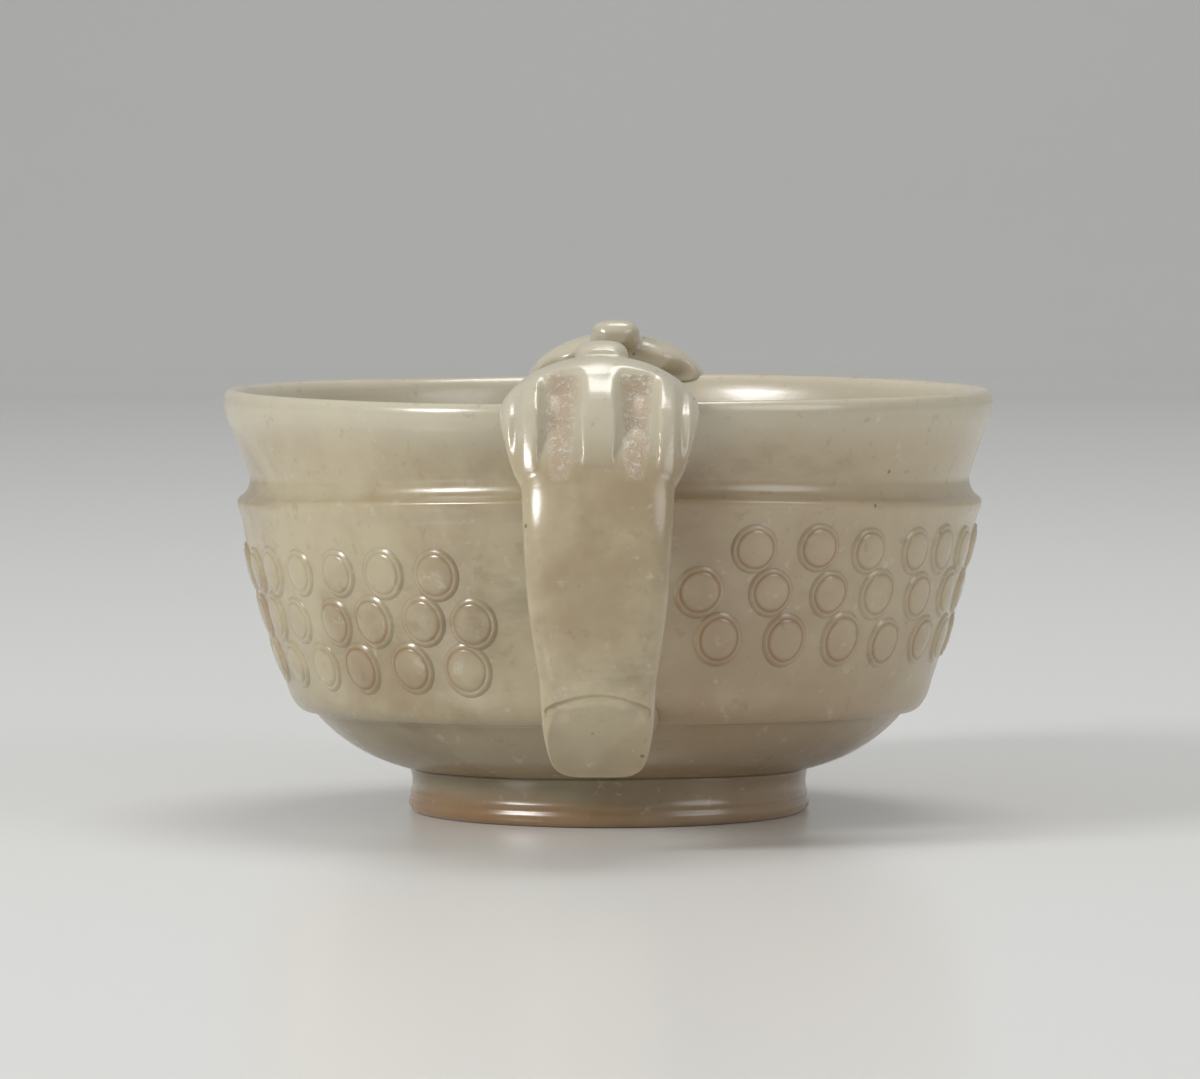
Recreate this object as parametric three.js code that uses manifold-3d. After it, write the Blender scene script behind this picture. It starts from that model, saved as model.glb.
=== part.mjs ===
// A small jade drinking cup with two loop handles, after the archaic ritual gui vessel.
// Millimetres, +Z up. The origin is the centre of the foot's underside, and the handles
// lie on the Y axis. The real cup is cut from one stone, so its four carved elements meet
// face to face: the bowl stands on the foot ring, and each handle ends at the bowl's wall.

import * as THREE from "three";
import { mergeVertices } from "three/addons/utils/BufferGeometryUtils.js";
import Module from "manifold-3d";

const wasm = await Module();
wasm.setup();

// Foot ring
const footRadius = 23.0;
const footWaist = 22.6;
const footHeight = 5.0;
const footWall = 4.4;
const footChamfer = 0.5;

// Bowl, outer radii from the foot upwards
const bellyStartRadius = 22.7;
const bellyTopRadius = 33.5;
const lowerLedgeRadius = 35.3;
const bandBottomRadius = 37.1;
const bandTopRadius = 41.75;
const upperLedgeRadius = 42.6;
const neckRadius = 41.2;
const rimRadius = 44.0;

// Bowl, heights of its zones, one on top of the other
const bellyHeight = 6.2;
const lowerLedgeStep = 0.9;
const lowerLedgeHeight = 3.3;
const bandHeight = 16.5;
const ledgeRunOut = 3.3;
const ledgeEdge = 0.4;
const shoulderHeight = 2.3;
const neckHeight = 8.5;
const lipHeight = 2.1;

// Bowl, thickness of the stone
const rimWall = 2.6;
const neckWall = 3.0;
const bandTopWall = 3.6;
const bandBottomWall = 4.2;
const floorThickness = 3.6;

// Bosses: low round discs in three staggered rows on each side, between the handles
const bossRadius = 2.65;
const bossTopRadius = 2.1;
const bossRelief = 0.55;
const bossPitchDegrees = 10.8;
const bossesInOuterRow = 14;
const bossesInMiddleRow = 15;
const bossRowHeights = [3.0, 8.3, 13.4];

// Handles
const loopReach = 15.0;
const loopThickness = 5.6;
const loopWidth = 15.6;
const loopLowerWidth = 12.0;
const headWidth = 21.3;
const headRise = 5.3;
const headInset = 5.6;
const headThickness = 5.6;
const grooveCentre = 4.1;
const grooveHalfWidth = 2.3;
const grooveDepth = 1.1;
const knobRadius = 2.9;
const knobRise = 1.3;
const tipDrop = 7.4;
const tipWidth = 11.9;

// Room left between two pieces that are cut to fit
const fitGap = 0.3;

// How finely round shapes are drawn
const bowlSegments = 48;
const bossSides = 6;
const sectionSides = 16;
const curveSteps = 4;

const bellyTop = footHeight + bellyHeight;
const lowerLedgeTop = bellyTop + lowerLedgeStep;
const bandBottom = lowerLedgeTop + lowerLedgeHeight;
const bandTop = bandBottom + bandHeight;
const upperLedge = bandTop + ledgeRunOut;
const neckBottom = upperLedge + ledgeEdge + shoulderHeight;
const lipWidest = neckBottom + neckHeight;
const rimTop = lipWidest + lipHeight;
const floorTop = footHeight + floorThickness;

function triangleList(geometry) {
  const plain = geometry.clone();
  plain.deleteAttribute("normal");
  plain.deleteAttribute("uv");
  const merged = mergeVertices(plain, 1e-4);
  const index = Array.from(merged.index.array);
  const kept = [];
  for (let i = 0; i < index.length; i += 3) {
    const [a, b, c] = index.slice(i, i + 3);
    if (a !== b && b !== c && c !== a) {
      kept.push(a, b, c);
    }
  }
  return { positions: merged.attributes.position.array, triangles: kept };
}

function enclosedVolume(positions, triangles) {
  const corner = (i) => new THREE.Vector3().fromArray(positions, 3 * i);
  let sum = 0;
  for (let i = 0; i < triangles.length; i += 3) {
    const [a, b, c] = triangles.slice(i, i + 3).map(corner);
    sum += a.dot(b.cross(c)) / 6;
  }
  return sum;
}

// A three.js geometry as a solid that can be joined and cut.
function solidFrom(geometry) {
  const { positions, triangles } = triangleList(geometry);
  if (enclosedVolume(positions, triangles) < 0) {
    triangles.reverse();
  }
  return new wasm.Manifold(new wasm.Mesh({
    numProp: 3,
    vertProperties: new Float32Array(positions),
    triVerts: new Uint32Array(triangles),
  }));
}

function geometryFrom(solid) {
  const mesh = solid.getMesh();
  const geometry = new THREE.BufferGeometry();
  geometry.setAttribute("position", new THREE.BufferAttribute(new Float32Array(mesh.vertProperties), 3));
  geometry.setIndex(Array.from(mesh.triVerts));
  geometry.computeVertexNormals();
  return geometry;
}

// A profile of (radius, height) points turned round the Z axis.
function turned(points) {
  const lathe = new THREE.LatheGeometry(points, bowlSegments);
  lathe.rotateX(Math.PI / 2);
  return solidFrom(lathe);
}

// The outside of the bowl, from the foot's seat on the axis up to the top of the rim.
function outerProfile() {
  const path = new THREE.Path();
  path.moveTo(0, footHeight);
  path.lineTo(bellyStartRadius, footHeight);
  path.quadraticCurveTo(
    bellyStartRadius + 6.6, footHeight + 1.3,
    bellyTopRadius, bellyTop,
  );
  path.lineTo(lowerLedgeRadius, lowerLedgeTop);
  path.quadraticCurveTo(
    bandBottomRadius - 0.5, lowerLedgeTop + 1.1,
    bandBottomRadius, bandBottom,
  );
  path.quadraticCurveTo(
    (bandBottomRadius + bandTopRadius) / 2 + 0.5, (bandBottom + bandTop) / 2 - 0.7,
    bandTopRadius, bandTop,
  );
  path.lineTo(upperLedgeRadius, upperLedge);
  path.lineTo(upperLedgeRadius, upperLedge + ledgeEdge);
  path.lineTo(neckRadius, neckBottom);
  path.quadraticCurveTo(
    (neckRadius + rimRadius) / 2 - 0.1, (neckBottom + lipWidest) / 2,
    rimRadius, lipWidest,
  );
  path.quadraticCurveTo(rimRadius, rimTop, rimRadius - rimWall / 2, rimTop);
  return path.getPoints(curveSteps);
}

// The inside of the bowl, from the top of the rim down to the floor on the axis.
function innerProfile() {
  const path = new THREE.Path();
  path.moveTo(rimRadius - rimWall / 2, rimTop);
  path.quadraticCurveTo(
    rimRadius - rimWall, rimTop,
    rimRadius - rimWall, lipWidest,
  );
  path.lineTo(neckRadius - neckWall, neckBottom);
  path.lineTo(bandTopRadius - bandTopWall, bandTop);
  path.lineTo(bandBottomRadius - bandBottomWall, bandBottom + 3);
  path.quadraticCurveTo(
    bandBottomRadius - bandBottomWall - 2, floorTop,
    0, floorTop,
  );
  return path.getPoints(curveSteps);
}

function withoutRepeats(points) {
  return points.filter((p, i) => i === 0 || p.distanceTo(points[i - 1]) > 1e-6);
}

// Every point moved outwards by a distance, square to the line through its two neighbours.
function grown(points, distance) {
  return points.map((p, i) => {
    const before = points[Math.max(i - 1, 0)];
    const after = points[Math.min(i + 1, points.length - 1)];
    const along = after.clone().sub(before).normalize();
    const out = new THREE.Vector2(along.y, -along.x).multiplyScalar(distance);
    const moved = p.clone().add(out);
    return p.x === 0 ? new THREE.Vector2(0, p.y + out.y) : moved;
  });
}

function wallRadiusAt(height) {
  const points = outerProfile();
  const i = points.findIndex((p, k) => k > 0 && points[k - 1].y <= height && p.y > height);
  const [low, high] = [points[i - 1], points[i]];
  return low.x + (high.x - low.x) * (height - low.y) / (high.y - low.y);
}

function wallLeanAt(height) {
  const step = 0.5;
  return Math.atan2(wallRadiusAt(height + step) - wallRadiusAt(height - step), 2 * step);
}

// One boss, pointing out of the wall at an angle round the cup and a height.
function boss(angle, height) {
  const sunk = 0.6;
  const disc = new THREE.CylinderGeometry(bossTopRadius, bossRadius, bossRelief + sunk, bossSides);
  disc.translate(0, (bossRelief - sunk) / 2, 0);
  disc.rotateZ(-Math.PI / 2);
  disc.rotateY(wallLeanAt(height));
  disc.translate(wallRadiusAt(height), 0, height);
  disc.rotateZ(angle);
  return solidFrom(disc);
}

function bossAngles(count) {
  const pitch = THREE.MathUtils.degToRad(bossPitchDegrees);
  return Array.from({ length: count }, (_, i) => (i - (count - 1) / 2) * pitch);
}

function allBosses() {
  const bosses = [];
  bossRowHeights.forEach((rowHeight, row) => {
    const count = row === 1 ? bossesInMiddleRow : bossesInOuterRow;
    for (const side of [0, Math.PI]) {
      for (const angle of bossAngles(count)) {
        bosses.push(boss(side + angle, bandBottom + rowHeight));
      }
    }
  });
  return bosses;
}

function bowlGeometry() {
  const profile = withoutRepeats([...outerProfile(), ...innerProfile()]);
  const plain = turned(profile);
  return geometryFrom(wasm.Manifold.union([plain, ...allBosses()]));
}

function footGeometry() {
  const inner = footRadius - footWall;
  const path = new THREE.Path();
  path.moveTo(inner, footHeight);
  path.lineTo(inner, footChamfer);
  path.lineTo(inner + footChamfer, 0);
  path.lineTo(footRadius - footChamfer, 0);
  path.lineTo(footRadius, footChamfer);
  path.lineTo(footRadius, footHeight * 0.3);
  path.quadraticCurveTo(footWaist, footHeight * 0.6, bellyStartRadius, footHeight);
  path.lineTo(inner, footHeight);
  return geometryFrom(turned(withoutRepeats(path.getPoints(curveSteps))));
}

// A closed skin over rings of points, each ring with a flat fan at its open end.
function skinned(rings) {
  const sides = rings[0].length;
  const positions = rings.flat().flatMap((p) => p.toArray());
  const index = [];
  for (let ring = 0; ring < rings.length - 1; ring += 1) {
    for (let side = 0; side < sides; side += 1) {
      const a = ring * sides + side;
      const b = ring * sides + (side + 1) % sides;
      index.push(a, b, b + sides, a, b + sides, a + sides);
    }
  }
  const last = (rings.length - 1) * sides;
  for (let side = 1; side < sides - 1; side += 1) {
    index.push(0, side + 1, side);
    index.push(last, last + side, last + side + 1);
  }
  const geometry = new THREE.BufferGeometry();
  geometry.setAttribute("position", new THREE.BufferAttribute(new Float32Array(positions), 3));
  geometry.setIndex(index);
  return geometry;
}

// A rounded bar along a path in the YZ plane. Each station has a place (y, z), a thickness
// in that plane and a width along X; the section is a square with well rounded corners.
// The groove depth presses two long furrows into the outer side.
function bar(stations, groove = 0) {
  const middle = new THREE.CatmullRomCurve3(
    stations.map(([y, z]) => new THREE.Vector3(0, y, z)), false, "centripetal");
  const sizes = new THREE.CatmullRomCurve3(
    stations.map(([, , thick, wide]) => new THREE.Vector3(thick, wide, 0)), false, "centripetal");
  const steps = (stations.length - 1) * 3;
  const rings = [];
  for (let i = 0; i <= steps; i += 1) {
    const t = i / steps;
    const centre = middle.getPoint(t);
    const along = middle.getTangent(t);
    const outward = new THREE.Vector3(0, along.z, -along.y).negate();
    const { x: thick, y: wide } = sizes.getPoint(t);
    const ring = [];
    for (let side = 0; side < sectionSides; side += 1) {
      const angle = side / sectionSides * 2 * Math.PI;
      const square = (v) => Math.sign(v) * Math.abs(v) ** 0.75;
      const across = square(Math.cos(angle)) * wide / 2;
      const depth = Math.sin(angle) > 0 ? groove * furrow(across) : 0;
      const height = square(Math.sin(angle)) * thick / 2 - depth;
      ring.push(centre.clone().addScaledVector(outward, height).add(new THREE.Vector3(across, 0, 0)));
    }
    rings.push(ring);
  }
  return solidFrom(skinned(rings));
}

function furrow(across) {
  const offset = (Math.abs(across) - grooveCentre) / grooveHalfWidth;
  return Math.max(0, 1 - offset * offset);
}

// The loop leaves the neck, swings out and down, and comes back to the bowl above the ledge.
function loop() {
  const outside = rimRadius + loopReach - loopThickness / 2;
  const highRoot = lipWidest - 0.6;
  const lowRoot = bandBottom - 1.6;
  return bar([
    [neckRadius - 2, highRoot - 2.0, 8.0, loopWidth + 2],
    [rimRadius + 3, highRoot - 0.8, 7.0, loopWidth + 1.6],
    [outside - 3.6, highRoot - 5.0, 6.2, loopWidth + 0.8],
    [outside - 0.4, neckBottom - 2.6, loopThickness, loopWidth],
    [outside, bandTop - 4.4, loopThickness, loopWidth - 0.6],
    [outside - 1.4, bandBottom + 5.0, loopThickness, loopLowerWidth + 0.9],
    [outside - 6.2, lowRoot + 0.6, loopThickness, loopLowerWidth],
    [bandBottomRadius + 5, lowRoot - 0.8, loopThickness, loopLowerWidth + 0.4],
    [bandBottomRadius - 5, lowRoot - 0.6, loopThickness, loopLowerWidth + 1.5],
  ]);
}

// The animal head rides over the rim and bends down into the loop, with two deep furrows.
function head() {
  const top = rimTop + headRise - headThickness / 2;
  return bar([
    [rimRadius - headInset, top - 0.6, headThickness - 2.4, headWidth - 8],
    [rimRadius - headInset + 3, top + 0.1, headThickness - 0.6, headWidth - 1.6],
    [rimRadius + 1.5, top - 1.2, headThickness + 0.8, headWidth],
    [rimRadius + 5.8, top - 4.8, headThickness + 1.4, headWidth],
    [rimRadius + 8.8, top - 9.4, headThickness, headWidth - 3.4],
  ], grooveDepth);
}

function knob() {
  const ball = new THREE.SphereGeometry(knobRadius, 12, 8);
  ball.rotateX(Math.PI / 2);
  ball.scale(1, 0.8, 0.8);
  ball.translate(0, rimRadius - headInset + 1.2, rimTop + headRise + knobRise - knobRadius * 0.8);
  return solidFrom(ball);
}

// The spur under the loop, cut off by a slanting oval face like a fingernail.
function tip() {
  const outside = rimRadius + loopReach - loopThickness / 2;
  const top = bandBottom + 3.2;
  return bar([
    [outside - 2.0, top, 6.0, tipWidth],
    [outside - 2.6, top - 3.4, 6.0, tipWidth],
    [outside - 4.0, top - tipDrop + 0.4, 4.6, tipWidth - 1.4],
    [outside - 5.7, top - tipDrop - 2.2, 1.8, tipWidth - 5],
  ]);
}

// The room that the bowl takes, filled to the top of its rim, with the fitting gap all round.
function bowlRoom() {
  const outside = grown(withoutRepeats(outerProfile()), fitGap);
  return turned([...outside, new THREE.Vector2(0, rimTop + fitGap)]);
}

function handleGeometry() {
  const whole = wasm.Manifold.union([loop(), head(), knob(), tip()]);
  const cut = whole.subtract(bowlRoom());
  return geometryFrom(cut);
}

function stone(color) {
  return new THREE.MeshStandardMaterial({ color, roughness: 0.32, metalness: 0 });
}

const cup = new THREE.Group();

function addPiece(name, geometry, color) {
  const mesh = new THREE.Mesh(geometry, stone(color));
  mesh.name = name;
  cup.add(mesh);
  return mesh;
}

addPiece("bowl", bowlGeometry(), 0xb9ad90);
addPiece("foot_ring", footGeometry(), 0xa8875c);
const handle = handleGeometry();
addPiece("rear_handle", handle, 0xb8b29c);
addPiece("front_handle", handle.clone(), 0xc0b8a2).rotation.z = Math.PI;

export default cup;
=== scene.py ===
# %% [markdown]
# # A carved jade cup with two loop handles
# The cup stands on its foot ring, with its handles along the Y axis. Its construction is
# loaded as a fixed frame; this lesson makes the surface that the eye sees. Every piece is a
# numpy surface: a profile turned round the cup, or a section carried along a path.

# %% The frame and its box
import math
import bmesh
import bpy
import numpy as np
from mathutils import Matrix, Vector


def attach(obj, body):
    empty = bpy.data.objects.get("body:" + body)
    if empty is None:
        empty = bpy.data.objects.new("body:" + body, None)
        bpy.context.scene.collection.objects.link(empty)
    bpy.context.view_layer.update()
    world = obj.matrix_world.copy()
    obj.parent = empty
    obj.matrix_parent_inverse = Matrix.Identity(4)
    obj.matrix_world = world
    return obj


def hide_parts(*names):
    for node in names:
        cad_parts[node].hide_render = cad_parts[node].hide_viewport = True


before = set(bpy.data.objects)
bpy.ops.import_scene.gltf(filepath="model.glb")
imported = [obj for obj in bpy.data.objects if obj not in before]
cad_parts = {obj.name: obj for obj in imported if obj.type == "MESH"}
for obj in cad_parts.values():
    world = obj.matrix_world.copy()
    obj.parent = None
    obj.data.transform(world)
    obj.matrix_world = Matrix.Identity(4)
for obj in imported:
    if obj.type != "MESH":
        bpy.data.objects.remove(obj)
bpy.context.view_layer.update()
MM = 0.001

# %% [markdown]
# ## Camera
# The photograph looks almost level along the handles, from about 0.8 m. The camera is placed
# by its distance, its height over the table and a small turn to the right, and it aims at a
# point on the cup's axis a little above the middle of its height.

# %% Camera
CAMERA_DISTANCE = 802 * MM
CAMERA_HEIGHT = 79 * MM
CAMERA_TURN = math.radians(1.2)
AIM = Vector((-1.0, 0, 31.0)) * MM
LENS = 210

camera_data = bpy.data.cameras.new("camera")
camera_data.lens = LENS
camera_data.sensor_width = 36
camera_data.sensor_fit = "HORIZONTAL"
camera_data.clip_end = 20
camera = bpy.data.objects.new("camera", camera_data)
bpy.context.collection.objects.link(camera)
camera.location = (
    CAMERA_DISTANCE * math.sin(CAMERA_TURN),
    -CAMERA_DISTANCE * math.cos(CAMERA_TURN),
    CAMERA_HEIGHT,
)
camera.rotation_euler = (AIM - camera.location).to_track_quat("-Z", "Y").to_euler()
bpy.context.scene.camera = camera
bpy.context.scene.view_settings.view_transform = "Standard"
print("camera at", tuple(round(v, 3) for v in camera.location))

# %% [markdown]
# ## Shader arithmetic
# A stone is painted by numbers that change from place to place. One small class wraps a
# socket so that those numbers are written as sums and products. Colours go through Mix
# nodes, and every other node comes from one method.

# %% Shader helpers
class Value:
    """A number on a shader socket; arithmetic on it adds Math nodes."""

    def __init__(self, shader, socket):
        self.shader = shader
        self.socket = socket

    def math(self, operation, *others):
        inputs = dict(enumerate((self,) + others))
        return self.shader.add("ShaderNodeMath", {"operation": operation}, inputs)

    def __add__(self, other):
        return self.math("ADD", other)

    def __sub__(self, other):
        return self.math("SUBTRACT", other)

    def __rsub__(self, other):
        return self.math("MULTIPLY_ADD", -1.0, other)

    def __mul__(self, other):
        return self.math("MULTIPLY", other)

    __radd__ = __add__
    __rmul__ = __mul__


class Shader:
    """A material with one Principled surface and the nodes that feed it."""

    def __init__(self, name):
        self.material = bpy.data.materials.new(name)
        self.material.use_nodes = True
        self.tree = self.material.node_tree
        self.surface = self.tree.nodes["Principled BSDF"]
        self.place = self.add("ShaderNodeTexCoord", {}, {}, "Object")

    def link(self, socket, value):
        if isinstance(value, Value):
            self.tree.links.new(value.socket, socket)
        else:
            socket.default_value = value

    def add(self, kind, settings, inputs, output=0):
        node = self.tree.nodes.new(kind)
        for key, setting in settings.items():
            setattr(node, key, setting)
        for key, value in inputs.items():
            self.link(node.inputs[key], value)
        return Value(self, node.outputs[output])

    def noise(self, scale, detail=4.0, roughness=0.55, place=None):
        inputs = {"Scale": scale, "Detail": detail, "Roughness": roughness}
        inputs["Vector"] = place or self.place
        return self.add("ShaderNodeTexNoise", {}, inputs)

    def step(self, value, low, high):
        """0 below low, 1 above high and smooth between; low may be above high."""
        inputs = {"Value": value, "From Min": low, "From Max": high}
        return self.add("ShaderNodeMapRange", {"interpolation_type": "SMOOTHSTEP"}, inputs)

    def mix(self, factor, first, second):
        inputs = {0: factor, 6: first, 7: second}
        return self.add("ShaderNodeMix", {"data_type": "RGBA"}, inputs, 2)

    def axis(self, name):
        return self.add("ShaderNodeSeparateXYZ", {}, {0: self.place}, name)

    def stretched(self, scale):
        return self.add("ShaderNodeMapping", {}, {"Vector": self.place, "Scale": scale})

    def attribute(self, name):
        return self.add("ShaderNodeAttribute", {"attribute_name": name}, {}, "Fac")

    def bump(self, height, distance, strength=1.0):
        inputs = {"Height": height, "Distance": distance, "Strength": strength}
        return self.add("ShaderNodeBump", {}, inputs)


def srgb(red, green, blue):
    """An sRGB colour in 0 to 255, as linear light with alpha."""
    c = np.array([red, green, blue]) / 255
    linear = np.where(c <= 0.04045, c / 12.92, ((c + 0.055) / 1.055) ** 2.4)
    return tuple(linear.tolist()) + (1.0,)

# %% [markdown]
# ## Jade
# Nephrite is a waxy, slightly translucent stone: pale celadon grey, with beige and olive
# clouds, white flecks and dark pinpricks. Age has stained the foot and the lower bowl brown.
# Slow noise gives the clouds and quick noise the flecks; height and side give the stains. A
# whiter band at the rim is painted light from above, and a lighter far right side is a painted
# highlight. Light goes a few millimetres into it, so it has a little subsurface scattering.

# %% Jade material
PALE = srgb(182, 170, 140)
BEIGE = srgb(150, 131, 100)
OLIVE = srgb(112, 94, 62)
WHITE = srgb(202, 198, 180)
AMBER = srgb(140, 92, 46)
PINKISH = srgb(172, 146, 118)
PIN = srgb(70, 58, 44)


def jade(name, stain=1.0):
    s = Shader(name)
    x = s.axis("X")
    z = s.axis("Z")
    clouds = s.noise(38, 5, 0.6)
    drift = s.noise(14, 2, 0.5)
    veins = s.noise(30, 6, 0.65, s.stretched((1, 1, 2.6)))
    flecks = s.noise(420, 3, 0.7)
    grain = s.noise(2400, 2, 0.6)
    colour = s.mix(s.step(clouds, 0.40, 0.64) * 0.85, PALE, BEIGE)
    colour = s.mix(s.step(veins, 0.56, 0.72) * 0.45, colour, OLIVE)
    low = s.step(z + (drift - 0.5) * 0.02, 17 * MM, 7 * MM)
    colour = s.mix(low * 0.60 * stain, colour, OLIVE)
    right = s.step(x + (drift - 0.5) * 0.04, 2 * MM, 22 * MM)
    colour = s.mix(right * 0.40, colour, PINKISH)
    # Painted highlight: the far right side is lightened towards pale, standing in for lamp light falling
    # on that side.
    painted_highlight_right = s.step(x + (drift - 0.5) * 0.03, 26 * MM, 40 * MM)
    colour = s.mix(painted_highlight_right * 0.45, colour, PALE)
    # Painted light: the band from the neck up to the rim is whitened, standing in for light falling on it
    # from above.
    high = s.step(z + (clouds - 0.5) * 0.01, 41 * MM, 48 * MM)
    colour = s.mix(high * 0.6, colour, WHITE)
    colour = s.mix(s.step(flecks, 0.60, 0.74) * 0.30, colour, WHITE)
    colour = s.mix(s.step(flecks, 0.40, 0.28) * 0.22, colour, OLIVE)
    foot = s.step(z + (clouds - 0.5) * 0.004, 3.4 * MM, 1.6 * MM)
    left = s.step(x + (drift - 0.5) * 0.03, 14 * MM, -4 * MM)
    colour = s.mix(foot * (0.15 + left * 0.35) * stain, colour, AMBER)
    pins = s.add("ShaderNodeTexVoronoi", {}, {"Vector": s.place, "Scale": 150.0}, "Distance")
    colour = s.mix(s.step(pins, 0.05, 0.025) * 0.6, colour, PIN)
    ground = s.attribute("ground")
    sparkle = s.step(s.noise(1500, 3, 0.8), 0.45, 0.65)
    rough_tone = s.mix(sparkle, PINKISH, WHITE)
    colour = s.mix(ground * 0.75, colour, rough_tone)
    stained_ring = s.attribute("ring")
    colour = s.mix(stained_ring * s.step(drift + clouds, 0.95, 1.15) * 0.55, colour, AMBER)
    colour = s.mix(stained_ring * 0.10, colour, OLIVE)
    s.link(s.surface.inputs["Base Color"], colour)
    s.link(s.surface.inputs["Roughness"], 0.20 + flecks * 0.10 + ground * 0.35)
    marks = s.noise(900, 2, 0.5, s.stretched((0.15, 0.15, 1.6)))
    relief = marks * 0.25 + grain * 0.15 + clouds * 2.0 + ground * sparkle * 2.5
    s.link(s.surface.inputs["Normal"], s.bump(relief, 0.10 * MM, 0.6))
    s.surface.inputs["Subsurface Weight"].default_value = 0.28
    s.surface.inputs["Subsurface Radius"].default_value = (1.0, 0.8, 0.55)
    s.surface.inputs["Subsurface Scale"].default_value = 2.0 * MM
    s.surface.inputs["Coat Weight"].default_value = 0.25
    s.surface.inputs["Coat Roughness"].default_value = 0.18
    s.surface.inputs["IOR"].default_value = 1.6
    return s.material


BOWL_JADE = jade("waxy_jade_bowl")
HANDLE_JADE = jade("waxy_jade_handle", 0.7)
FOOT_JADE = jade("waxy_jade_foot")
print("materials", [m.name for m in bpy.data.materials])

# %% [markdown]
# ## From numbers to a mesh
# Modelling by hand would hide how each shape was found, so every surface here is a grid of
# points given by a formula. Its columns close on themselves. Rows that shrink to a point are
# merged, so poles and seams are closed, and the normals are then made to face outwards.

# %% Grid meshes
def grid_faces(rows, columns, start=0):
    """Quads between neighbours of a grid; the last column joins the first."""
    row, column = np.meshgrid(np.arange(rows - 1), np.arange(columns), indexing="ij")
    after = (column + 1) % columns
    quads = [row * columns + column, row * columns + after,
             (row + 1) * columns + after, (row + 1) * columns + column]
    return np.stack(quads, axis=-1).reshape(-1, 4) + start


def make_piece(name, grids, material, node, ring=None):
    """One mesh object from closed grids, riding on the root body; ring is a number per point."""
    points = np.concatenate([g.reshape(-1, 3) for g in grids])
    starts = np.cumsum([0] + [g.shape[0] * g.shape[1] for g in grids[:-1]])
    faces = np.concatenate([grid_faces(g.shape[0], g.shape[1], s) for g, s in zip(grids, starts)])
    mesh = bpy.data.meshes.new(name)
    mesh.from_pydata(points.tolist(), [], faces.tolist())
    if ring is not None:
        set_attribute(mesh, "ring", ring)
    tidy_mesh(mesh)
    piece = bpy.data.objects.new(name, mesh)
    bpy.context.collection.objects.link(piece)
    mesh.materials.append(material)
    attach(piece, "root")
    if node:
        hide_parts(node)
    print(name, len(mesh.vertices), "vertices", len(mesh.polygons), "faces")
    return piece


def tidy_mesh(mesh):
    """Merge doubled points at seams and poles, and turn the faces outwards."""
    work = bmesh.new()
    work.from_mesh(mesh)
    bmesh.ops.remove_doubles(work, verts=work.verts, dist=2e-6)
    bmesh.ops.recalc_face_normals(work, faces=work.faces)
    work.to_mesh(mesh)
    work.free()
    mesh.shade_smooth()


def set_attribute(mesh, name, values):
    """A number on each vertex that the material reads."""
    layer = mesh.attributes.new(name, "FLOAT", "POINT")
    layer.data.foreach_set("value", np.ascontiguousarray(values, dtype=np.float32))


def vertices_of(mesh):
    flat = np.empty(len(mesh.vertices) * 3, dtype=np.float32)
    mesh.vertices.foreach_get("co", flat)
    return flat.reshape(-1, 3).astype(float)

# %% [markdown]
# ## The bowl's profile
# The bowl swells from its foot to a small overhanging ledge, carries a band of bosses up to a
# second ledge, and ends in a flared neck with a rounded lip. The wall could be turned from a
# few points with a bevel on each corner, but a bevel has one width everywhere. Here the
# outline is made of straight lines and quadratic curves, measured again at even steps, and
# averaged over an eighth of a millimetre, which wears every edge round as polishing does.

# %% Profile of the bowl
RIM_TOP = 48.4
FOOT_TOP = 5.0
FLOOR_TOP = 8.6


def bend(start, pull, end, count=24):
    """Quadratic curve: two blends of its three points, blended again."""
    t = np.linspace(0, 1, count)[:, None]
    a, b, c = np.array(start), np.array(pull), np.array(end)
    return (1 - t) ** 2 * a + 2 * t * (1 - t) * b + t ** 2 * c


def even_steps(points, spacing):
    """The same line with points at even distances along it."""
    points = np.asarray(points, dtype=float)
    along = np.concatenate([[0], np.cumsum(np.linalg.norm(np.diff(points, axis=0), axis=1))])
    stations = np.linspace(0, along[-1], max(2, int(along[-1] / spacing)))
    return np.stack([np.interp(stations, along, points[:, k]) for k in (0, 1)], axis=1)


def worn(points, spacing=0.05, width=0.13):
    """Average the line with a bell-shaped weight, keeping its two ends."""
    fine = even_steps(points, spacing)
    reach = int(3 * width / spacing)
    weight = np.exp(-0.5 * (np.arange(-reach, reach + 1) * spacing / width) ** 2)
    weight /= weight.sum()
    padded = np.pad(fine, ((reach, reach), (0, 0)), mode="reflect", reflect_type="odd")
    return np.stack([np.convolve(padded[:, k], weight, mode="valid") for k in (0, 1)], axis=1)


OUTSIDE = worn(np.concatenate([
    [(20.0, FOOT_TOP), (22.7, FOOT_TOP)],
    bend((22.7, FOOT_TOP), (29.3, 6.3), (33.5, 11.2)),
    [(33.7, 11.6), (35.2, 11.8)],
    bend((35.6, 12.1), (36.6, 13.1), (37.1, 15.4)),
    bend((37.1, 15.4), (39.9, 23.0), (41.7, 31.6)),
    [(42.0, 33.4), (42.55, 34.9), (42.65, 35.7)],
    bend((42.4, 36.0), (41.2, 36.6), (41.2, 38.4), 8),
    bend((41.2, 38.4), (42.3, 41.6), (43.8, 45.4)),
    bend((44.0, 46.8), (44.05, 48.3), (43.1, RIM_TOP)),
]))
INSIDE = worn(np.concatenate([
    bend((43.1, RIM_TOP), (41.7, 48.4), (41.4, 46.4)),
    [(38.3, 38.1), (38.1, 31.9), (34.5, 22.0)],
    bend((32.9, 18.4), (30.4, FLOOR_TOP), (0, FLOOR_TOP)),
]))
print("points on the outline", len(OUTSIDE), "outside and", len(INSIDE), "inside")

# %% [markdown]
# ## Hand-cut unevenness
# On the stone the ledges and rows of bosses climb towards the handles by one to two
# millimetres, and the rim dips a little on one side. A lattice could bend the finished mesh,
# but a formula also carries the bosses along: every point is lifted by an amount that depends
# on its height and on its angle from the handle axis.

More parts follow.
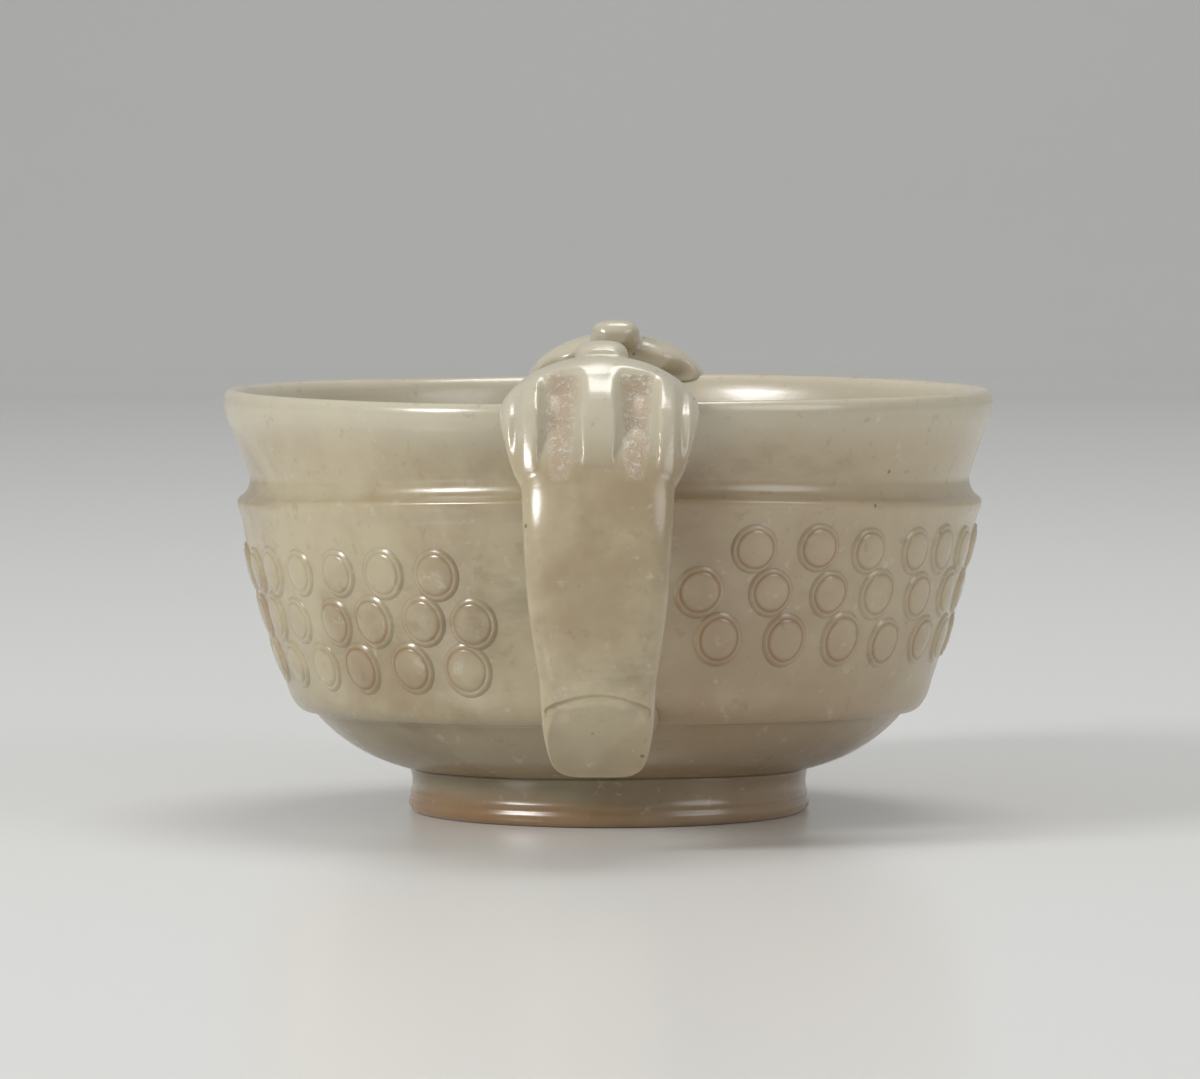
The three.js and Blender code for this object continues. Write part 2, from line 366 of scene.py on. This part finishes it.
# %% Unevenness
LIFT_HEIGHTS = [0, 5, 12, 24, 35, 44, 48.4]
LIFT_RIGHT = [0, 0.7, 0.9, 2.6, 2.3, 0.5, 0.25]
LIFT_LEFT = [0, 0.5, 0.7, 1.4, 2.0, 0.2, -0.25]
FRONT = -math.pi / 2
UNEVEN_FROM = 25


def lifted(angle, height):
    """Height plus the rise towards the handles, more on the right than on the left."""
    near_handle = np.sin(angle) ** 2
    right = np.interp(height, LIFT_HEIGHTS, LIFT_RIGHT)
    left = np.interp(height, LIFT_HEIGHTS, LIFT_LEFT)
    side = 0.5 + 0.5 * np.tanh(3 * np.cos(angle))
    return height + near_handle * (left + (right - left) * side)


def ripple(angle, height):
    """A tenth of a millimetre of slow waves, as grinding by hand leaves."""
    return 0.06 * np.sin(7 * angle + 0.21 * height) + 0.05 * np.sin(11 * angle - 0.33 * height + 1)


def turned(profile, columns):
    """Points of a profile (radius, height) at even angles; unevenness fades to the axis."""
    angle = np.linspace(0, 2 * math.pi, columns, endpoint=False)[None, :]
    radius, height = profile[:, 0:1] + 0 * angle, profile[:, 1:2] + 0 * angle
    fade = np.clip(radius / UNEVEN_FROM, 0, 1) ** 2
    radius = radius + ripple(angle, height) * fade
    height = height + (lifted(angle, height) - height) * fade
    grid = np.stack([radius * np.cos(angle), radius * np.sin(angle), height], axis=-1)
    return grid * MM


def wall_radius(height):
    return np.interp(height, OUTSIDE[:, 1], OUTSIDE[:, 0])

# %% Bowl
BOWL_COLUMNS = 340
seat = np.array([(0.0, FOOT_TOP), (10.0, FOOT_TOP)])
bowl_profile = np.concatenate([
    seat,
    even_steps(OUTSIDE, 0.33),
    even_steps(INSIDE, 1.0)[1:-1],
    [(0.0, FLOOR_TOP)],
])
make_piece("jade_bowl", [turned(bowl_profile, BOWL_COLUMNS)], BOWL_JADE, "bowl")

# %% [markdown]
# ## Bosses
# The band between the ledges carries three staggered rows of low round bosses, each with a
# fine ring cut round it. Displacing the wall itself would need a very fine mesh all round.
# Each boss is instead a small round grid laid on the wall: distance from its centre gives its
# height, and its skirt goes under the wall's surface, where it closes. Each row has its own
# start and pitch, and a seeded draw shifts each boss a little, as work by hand does.

# %% Bosses
# Ring by ring: distance from the boss's centre, relief over the wall, and how deep in the groove.
BOSS_DISTANCE = np.array([0, 0.7, 1.3, 1.75, 2.0, 2.1, 2.2, 2.3, 2.42, 2.58, 2.78, 3.1, 0])
BOSS_RELIEF = np.array([0.54, 0.53, 0.49, 0.43, 0.38, 0.30, 0.24, 0.28, 0.30, 0.24, 0.03, -0.15, -0.6])
BOSS_RING = np.array([0, 0, 0, 0, 0.2, 0.8, 1, 0.8, 0.2, 0, 0, 0, 0])
BOSS_SIDES = 32
# Each row: height, first angle from the front handle, pitch in degrees, and count.
ROWS_RIGHT = [(30.4, 24.3, 10.5, 14), (25.4, 16.4, 11.0, 14), (20.4, 19.8, 11.4, 13)]
ROWS_LEFT = [(28.0, 26.6, 9.7, 14), (22.7, 20.8, 9.8, 14), (17.6, 22.6, 11.0, 13)]


def boss_grid(angle, height, size):
    """A round grid whose rows are rings; relief is added to the wall's radius."""
    turn = np.linspace(0, 2 * math.pi, BOSS_SIDES, endpoint=False)[None, :]
    distance = BOSS_DISTANCE[:, None] * size
    up = height + distance * np.sin(turn)
    round_cup = angle + distance * np.cos(turn) / wall_radius(height)
    radius = wall_radius(up) + ripple(round_cup, up) + BOSS_RELIEF[:, None]
    grid = np.stack([radius * np.cos(round_cup), radius * np.sin(round_cup), lifted(round_cup, up)], -1)
    return grid * MM


def boss_grids():
    chance = np.random.default_rng(5)
    grids = []
    for side, rows in ((1, ROWS_RIGHT), (-1, ROWS_LEFT)):
        for height, start, pitch, count in rows:
            for i in range(count):
                degrees = start + pitch * i + chance.normal(0, 0.5)
                angle = FRONT + side * math.radians(degrees)
                grids.append(boss_grid(angle, height + chance.normal(0, 0.12), chance.uniform(0.94, 1.04)))
    return grids


all_bosses = boss_grids()
in_groove = np.tile(np.repeat(BOSS_RING, BOSS_SIDES), len(all_bosses))
make_piece("ringed_bosses", all_bosses, BOWL_JADE, None, in_groove)
print("bosses", len(all_bosses))

# %% [markdown]
# ## Foot ring
# The foot is a low ring, slightly waisted, with a fine groove above a rounded lower band. A
# bent cylinder with loop cuts would do, but a profile that closes on itself, turned round the
# cup, keeps the groove an even depth and gives a ring that is closed inside and out.

# %% Foot ring
FOOT_INNER = 18.6
FOOT_COLUMNS = 300
foot_line = worn(np.concatenate([
    [(FOOT_INNER, 5.0), (FOOT_INNER, 0.5), (19.1, 0), (22.3, 0)],
    bend((22.3, 0.0), (23.1, 0.1), (23.05, 1.2), 10),
    [(22.72, 1.7), (22.9, 2.1)],
    bend((22.75, 2.3), (22.4, 3.4), (22.9, 5.0), 10),
    [(22.2, 5.3), (20.0, 5.2)],
]), width=0.14)
foot_profile = np.concatenate([even_steps(foot_line, 0.22), foot_line[:1]])
make_piece("jade_foot_ring", [turned(foot_profile, FOOT_COLUMNS)], FOOT_JADE, "foot_ring")

# %% [markdown]
# ## Handles
# A handle is one flowing mass: a loop, a head that bends over the rim, a small knob and a
# spur below. Each of these is a rounded section carried along a path. The four are merged by
# remeshing them as one volume, as if clay were pressed together, then smoothed, and the fine
# cuts are pressed into the result by moving its points.

# %% Section along a path
# Stations are in millimetres in the plane across the cup, with y pointing out of the wall.
def flowing(stations, count):
    """Catmull-Rom curve through the stations, all their numbers at once."""
    s = np.asarray(stations, dtype=float)
    s = np.concatenate([[2 * s[0] - s[1]], s, [2 * s[-1] - s[-2]]])
    place = np.linspace(0, len(s) - 3 - 1e-9, count)
    i = place.astype(int)
    t = (place - i)[:, None]
    a, b, c, d = s[i], s[i + 1], s[i + 2], s[i + 3]
    return 0.5 * (2 * b + (c - a) * t + (2 * a - 5 * b + 4 * c - d) * t ** 2
                  + (3 * b - a - 3 * c + d) * t ** 3)


def bar(stations, count=90, sides=96, square=0.72, carve=None, droop=None):
    """Stations are (y, z, thickness, width): a rounded section square to the path."""
    line = flowing(stations, count)
    slope = np.gradient(line[:, :2], axis=0)
    slope /= np.linalg.norm(slope, axis=1)[:, None]
    turn = np.linspace(0, 2 * math.pi, sides, endpoint=False)[None, :]
    across = np.sign(np.cos(turn)) * np.abs(np.cos(turn)) ** square * line[:, 3:4] / 2
    deep = np.sign(np.sin(turn)) * np.abs(np.sin(turn)) ** square * line[:, 2:3] / 2
    if carve:
        deep = deep - carve(across, np.linspace(0, 1, count)[:, None]) * (np.sin(turn) > 0)
    if droop:
        deep = deep - droop(across, np.linspace(0, 1, count)[:, None])
    y = line[:, 0:1] - deep * slope[:, 1:2]
    z = line[:, 1:2] + deep * slope[:, 0:1]
    grid = np.stack([across, y, z], axis=-1)
    ends = [grid[:1].mean(axis=1, keepdims=True), grid[-1:].mean(axis=1, keepdims=True)]
    caps = [np.repeat(e, sides, axis=1) for e in ends]
    return np.concatenate([caps[0], grid, caps[1]]) * MM


# %% Parts of a handle
def hollow(across, middle, half_width):
    """A round-bottomed furrow: one at its middle and zero from its edges outwards."""
    return np.clip(1 - ((np.abs(across) - middle) / half_width) ** 2, 0, 1)


def head_carving(across, along):
    """Two deep furrows beside a flat rib, and a thin cut that parts the outer lobes."""
    open_face = np.clip((along - 0.42) / 0.08, 0, 1) * np.clip((0.93 - along) / 0.12, 0, 1)
    deep = 1.9 * hollow(across, 4.15, 2.35) ** 0.6
    thin = 0.55 * hollow(across, 8.9, 0.7)
    arch = 0.30 * hollow(across, 0, 2.1) * np.clip(1 - np.abs(along - 0.46) / 0.1, 0, 1)
    return open_face * (deep + thin) + arch


def head_droop(across, along):
    """The head drapes over the rim: its sides hang lower, by the square of their distance."""
    return 0.024 * across ** 2 * np.clip((0.62 - along) / 0.25, 0, 1) * np.clip(0.3 + along / 0.2, 0, 1)


LOOP = [
    (42.2, 44.5, 7.4, 16.6), (46.8, 44.9, 7.2, 17.0), (52.4, 41.4, 6.4, 16.6),
    (55.6, 35.4, 5.9, 16.0), (56.0, 27.6, 5.7, 15.0), (54.9, 20.4, 5.7, 13.0),
    (50.2, 14.8, 5.2, 11.0), (42.4, 13.5, 5.2, 11.2),
    (36.5, 13.3, 5.4, 12.6), (31.8, 12.2, 3.0, 12.0),
]
HEAD = [
    (38.6, 50.3, 3.0, 12.5), (40.6, 50.9, 4.9, 19.4), (44.6, 50.1, 6.2, 21.2),
    (49.4, 46.6, 6.8, 21.3), (52.9, 41.8, 6.0, 18.6), (54.4, 38.6, 4.4, 15.2),
]
NECK_BLOCK = [(42.8, 49.4, 2.6, 16.0), (44.4, 46.0, 4.0, 17.0), (45.0, 42.5, 4.4, 15.0)]
SPUR = [
    (55.2, 22.0, 4.6, 13.0), (54.5, 17.4, 5.8, 12.4), (53.4, 13.4, 5.4, 11.8),
    (52.0, 10.2, 3.6, 10.2), (51.0, 8.9, 1.8, 7.6),
]
KNOB = [(36.4, 53.0, 1.6, 2.6), (37.5, 53.2, 3.3, 5.2), (39.2, 53.2, 3.6, 5.8), (41.4, 52.8, 2.6, 4.6)]
print("loop stands out to", max(y + thick / 2 for y, z, thick, wide in LOOP), "mm")


VOXEL = 0.25 * MM


def handle_mesh(name):
    """The five bars of a handle as one volume, with its edges worn a little."""
    head = bar(HEAD, count=110, sides=160, square=0.82, carve=head_carving, droop=head_droop)
    grids = [bar(LOOP), head, bar(NECK_BLOCK), bar(SPUR), bar(KNOB)]
    piece = make_piece(name, grids, HANDLE_JADE, name.replace("jade_", ""))
    remesh = piece.modifiers.new("one_volume", "REMESH")
    remesh.mode = "VOXEL"
    remesh.voxel_size = VOXEL
    smooth = piece.modifiers.new("worn_edges", "SMOOTH")
    smooth.factor = 0.5
    smooth.iterations = 2
    depsgraph = bpy.context.evaluated_depsgraph_get()
    mesh = bpy.data.meshes.new_from_object(piece.evaluated_get(depsgraph))
    piece.modifiers.clear()
    piece.data = mesh
    mesh.name = name
    if not mesh.materials:
        mesh.materials.append(HANDLE_JADE)
    return piece


def press_cuts(mesh, turn):
    """The nail-like face's groove, its two small notches, and the mark of ground furrows."""
    p = vertices_of(mesh) / MM
    x, y, z = p.T
    outer = y > 52
    arc = 17.3 - 0.055 * x ** 2
    groove = 0.42 * np.exp(-((z - arc) / 0.38) ** 2) * (np.abs(x) < 5.6)
    corner_x = np.abs(x)
    notch = 0.55 * np.exp(-((corner_x - 4.3) / 0.9) ** 2 - ((z - 15.6) / 0.8) ** 2)
    ridge = -0.10 * np.exp(-((x - 2.4) / 0.7) ** 2) * np.clip((z - 34) / 4, 0, 1)
    inward = (groove + notch + ridge) * outer
    length = np.hypot(y - 46, z - 30)
    nail = 51.5 + 0.68 * (z - 8.5) + 0.012 * x ** 2
    p[:, 1] = np.where(z < arc, np.minimum(y, nail), y)
    p[:, 1] -= inward * (y - 46) / length
    p[:, 2] -= inward * (z - 30) / length
    face = (z > 40.5) & (z < 51.6) & (y > 44)
    spread = 1.1 + 0.9 * np.clip((z - 41) / 9, 0, 1)
    furrow = hollow(x, 4.05, spread) * face * np.clip((z - 40.5) / 1.5, 0, 1)
    if turn:
        p[:, 0] *= -1
        p[:, 1] *= -1
    mesh.vertices.foreach_set("co", (p * MM).astype(np.float32).ravel())
    mesh.update()
    set_attribute(mesh, "ground", np.clip(furrow * 1.3, 0, 1))
    mesh.shade_smooth()


# %% Both handles
for name, turn in (("jade_rear_handle", False), ("jade_front_handle", True)):
    piece = handle_mesh(name)
    press_cuts(piece.data, turn)
    print(name, len(piece.data.polygons), "faces")

# %% [markdown]
# ## Floor and light
# A plain pale floor runs up into a backdrop. One broad lamp to the left shapes the cup, a
# weaker one fills from the right, a third lights it from above, and the even sky keeps
# colours near to how they are written. A single strong lamp would hide half of the carving.

# %% Floor
def floor_material():
    s = Shader("pale_floor")
    tone = s.mix(s.noise(3, 2), srgb(228, 228, 226), srgb(234, 234, 232))
    s.link(s.surface.inputs["Base Color"], tone)
    s.surface.inputs["Roughness"].default_value = 0.22
    return s.material


FLOOR_REACH = 2.4
turn_up = np.linspace(0, math.pi / 2, 16)
back_y = np.concatenate([[-FLOOR_REACH], 1.2 + 0.6 * np.sin(turn_up), [1.8]])
back_z = np.concatenate([[0], 0.6 - 0.6 * np.cos(turn_up), [2.6]])
strip = np.stack([np.stack([np.full(len(back_y), x), back_y, back_z], -1)
                  for x in (-FLOOR_REACH, FLOOR_REACH)], axis=1)
floor_mesh = bpy.data.meshes.new("floor")
count = len(back_y)
floor_faces = [(2 * i, 2 * i + 1, 2 * i + 3, 2 * i + 2) for i in range(count - 1)]
floor_mesh.from_pydata(strip.reshape(-1, 3).tolist(), [], floor_faces)
floor_mesh.shade_smooth()
floor_mesh.materials.append(floor_material())
floor = bpy.data.objects.new("floor", floor_mesh)
bpy.context.collection.objects.link(floor)
print("floor and backdrop", len(floor_faces), "strips")

# %% Light
def lamp(name, place, size, power, target=(0, 0, 0.03)):
    data = bpy.data.lights.new(name, "AREA")
    data.shape = "DISK"
    data.size = size
    data.energy = power
    thing = bpy.data.objects.new(name, data)
    bpy.context.collection.objects.link(thing)
    thing.location = place
    thing.rotation_euler = (Vector(target) - Vector(place)).to_track_quat("-Z", "Y").to_euler()


lamp("key", (-0.75, -0.55, 0.55), 0.35, 6.5)
lamp("fill", (0.8, -0.5, 0.5), 0.6, 2.2)
lamp("top", (0.1, 0.3, 1.0), 0.5, 3.6)
world = bpy.data.worlds.new("soft_sky")
world.use_nodes = True
world.node_tree.nodes["Background"].inputs["Color"].default_value = (1, 1, 1, 1)
world.node_tree.nodes["Background"].inputs["Strength"].default_value = 0.38
bpy.context.scene.world = world
